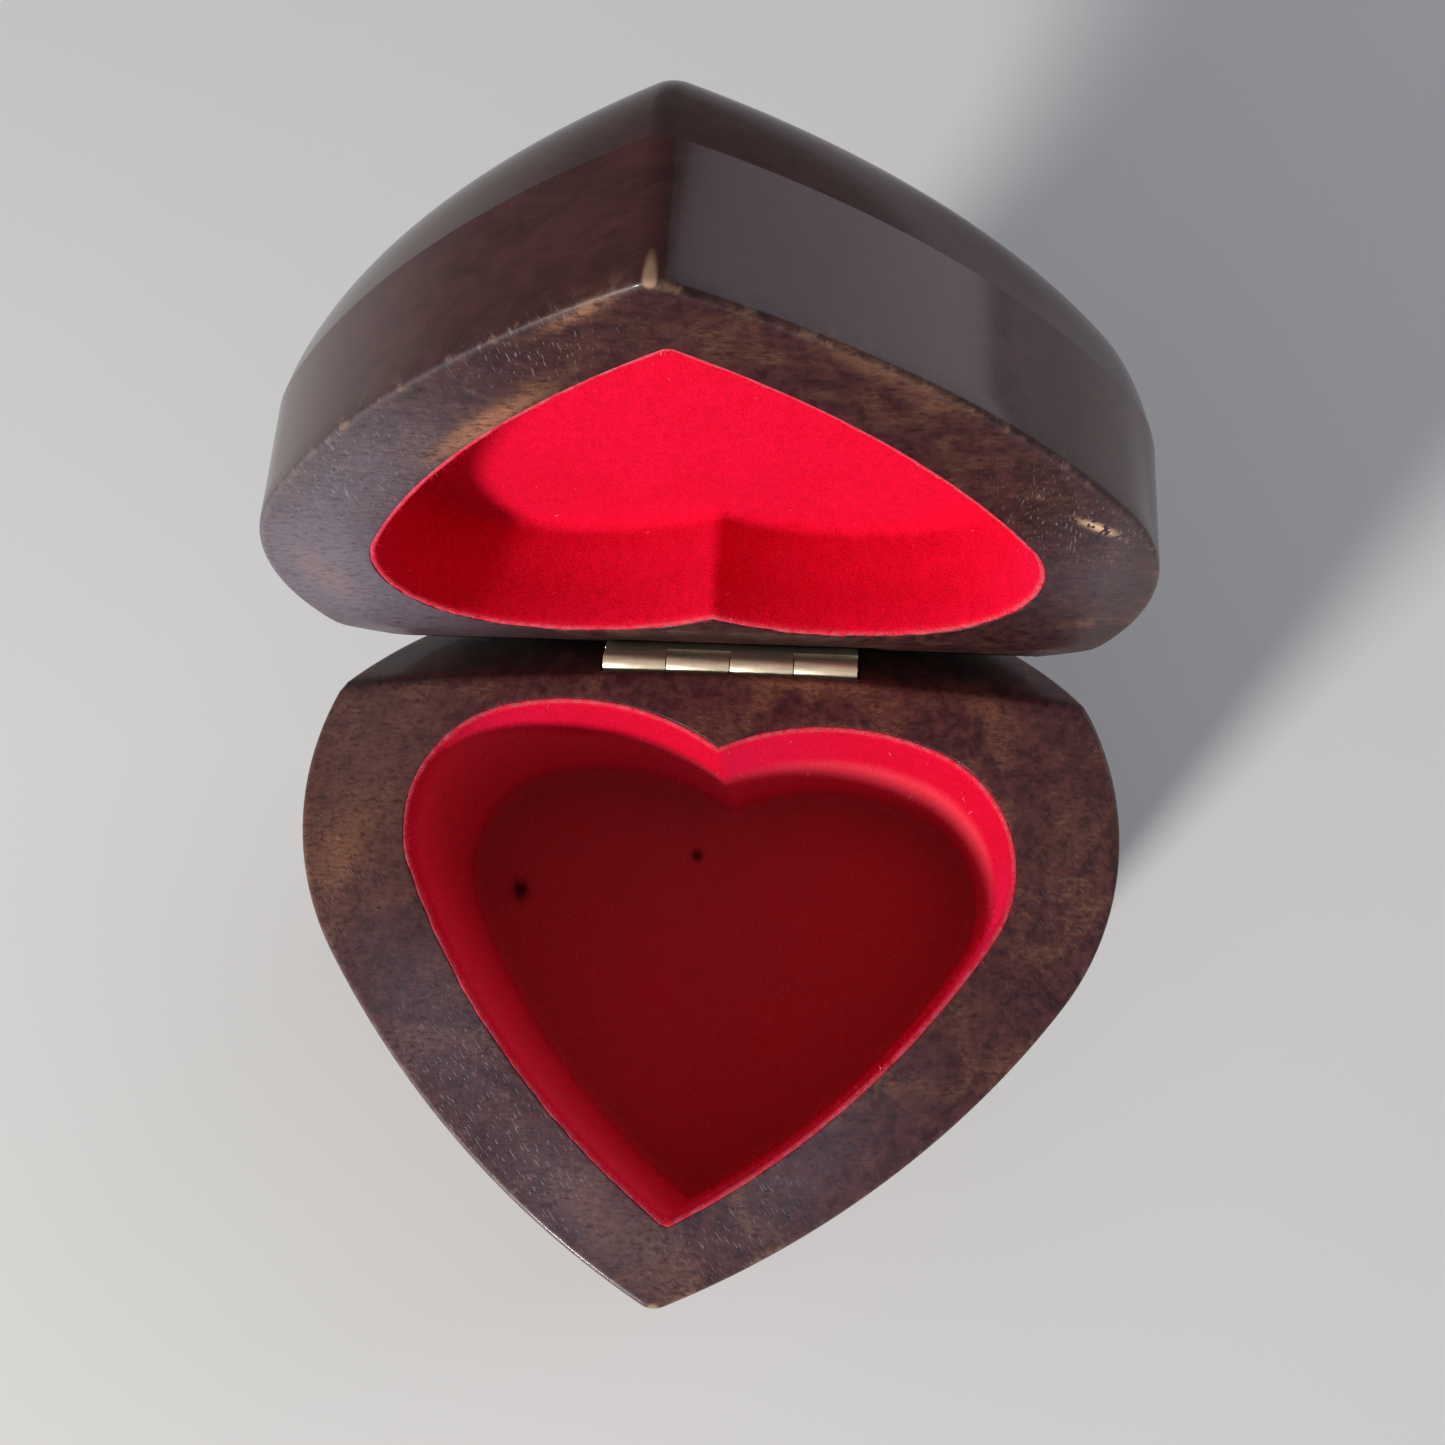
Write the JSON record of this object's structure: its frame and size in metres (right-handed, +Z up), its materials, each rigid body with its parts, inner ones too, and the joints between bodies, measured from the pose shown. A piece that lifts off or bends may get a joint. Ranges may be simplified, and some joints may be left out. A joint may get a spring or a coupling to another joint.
{
  "type": "wind up music box",
  "caption": "Heart-shaped wooden box with a hinged lid, flocked hollows and a wind-up comb and cylinder movement under its floor.",
  "frame": {"origin": "on the table under the middle of the box with its lid open", "axes": "+Z up, the heart's tip and the open mouth towards -Y, the hinge line along X"},
  "size_m": [0.0778, 0.0844, 0.1173],
  "materials": {
    "dark_wood": "dark stained and lacquered hardwood, worn on the rims",
    "plain_wood": "bare thin plywood",
    "red_flock": "red flock on a thin backing",
    "brass": "pale satin brass",
    "steel": "plain bright steel",
    "white_plastic": "moulded off-white plastic"
  },
  "bodies": {
    "base": {"base_shell": "dark_wood", "compartment_floor": "plain_wood", "bottom_panel": "plain_wood", "base_lining": "red_flock", "hinge_leaf_lower": "brass", "lower_leaf_screw_1": "brass", "lower_leaf_screw_2": "brass", "comb_base": "brass", "bottom_panel_screw_1": "steel", "bottom_panel_screw_2": "steel", "bottom_panel_screw_3": "steel", "hinge_pin": "steel", "bedplate": "steel", "movement_screw_1": "steel", "movement_screw_2": "steel", "movement_screw_3": "steel", "comb": "steel", "comb_screw_1": "steel", "comb_screw_2": "steel", "click_spring": "steel", "click_screw": "steel", "transfer_stud": "steel", "governor_bracket": "steel", "governor_bracket_screw": "steel", "cylinder_bracket": "steel", "cylinder_bracket_screw": "steel"},
    "lid": {"lid_shell": "dark_wood", "lid_lining": "red_flock", "hinge_leaf_upper": "brass", "upper_leaf_screw_1": "brass", "upper_leaf_screw_2": "brass"},
    "key": {"winding_key": "brass", "winding_arbor": "steel", "ratchet_wheel": "steel"},
    "barrel": {"spring_barrel": "brass", "barrel_cover": "brass", "mainspring": "steel"},
    "cylinder_group": {"cylinder": "brass", "cylinder_arbor": "steel", "cylinder_pinion": "brass", "cylinder_wheel": "brass"},
    "transfer": {"transfer_gear": "white_plastic"},
    "governor": {"governor_worm": "steel", "governor_fan": "steel"}
  },
  "joints": [
    {"name": "lid_hinge", "type": "hinge", "parent": "base", "child": "lid", "pos_m": [-0.00026, 0.01713, 0.0583], "axis": [1, 0, 0], "range_deg": [0, 95]},
    {"name": "key_wind", "type": "hinge", "parent": "base", "child": "key", "pos_m": [-0.01166, 0.00063, 0.0123], "axis": [0, 0, 1], "range_deg": [0, 2880]},
    {"name": "barrel_turn", "type": "hinge", "parent": "base", "child": "barrel", "pos_m": [-0.01166, 0.00063, 0.015], "axis": [0, 0, 1], "continuous": true},
    {"name": "cylinder_turn", "type": "hinge", "parent": "base", "child": "cylinder_group", "pos_m": [0.00674, 0.00063, 0.02025], "axis": [1, 0, 0], "continuous": true},
    {"name": "transfer_turn", "type": "hinge", "parent": "base", "child": "transfer", "pos_m": [0.01744, -0.00567, 0.0172], "axis": [1, 0, 0], "continuous": true},
    {"name": "governor_turn", "type": "hinge", "parent": "base", "child": "governor", "pos_m": [0.01824, -0.01052, 0.0172], "axis": [0, 0, 1], "continuous": true}
  ],
  "couplings": [
    {"joint": "barrel_turn", "follows": "cylinder_turn", "ratio": 0.28125},
    {"joint": "transfer_turn", "follows": "cylinder_turn", "ratio": -2.5},
    {"joint": "governor_turn", "follows": "cylinder_turn", "ratio": -35}
  ]
}
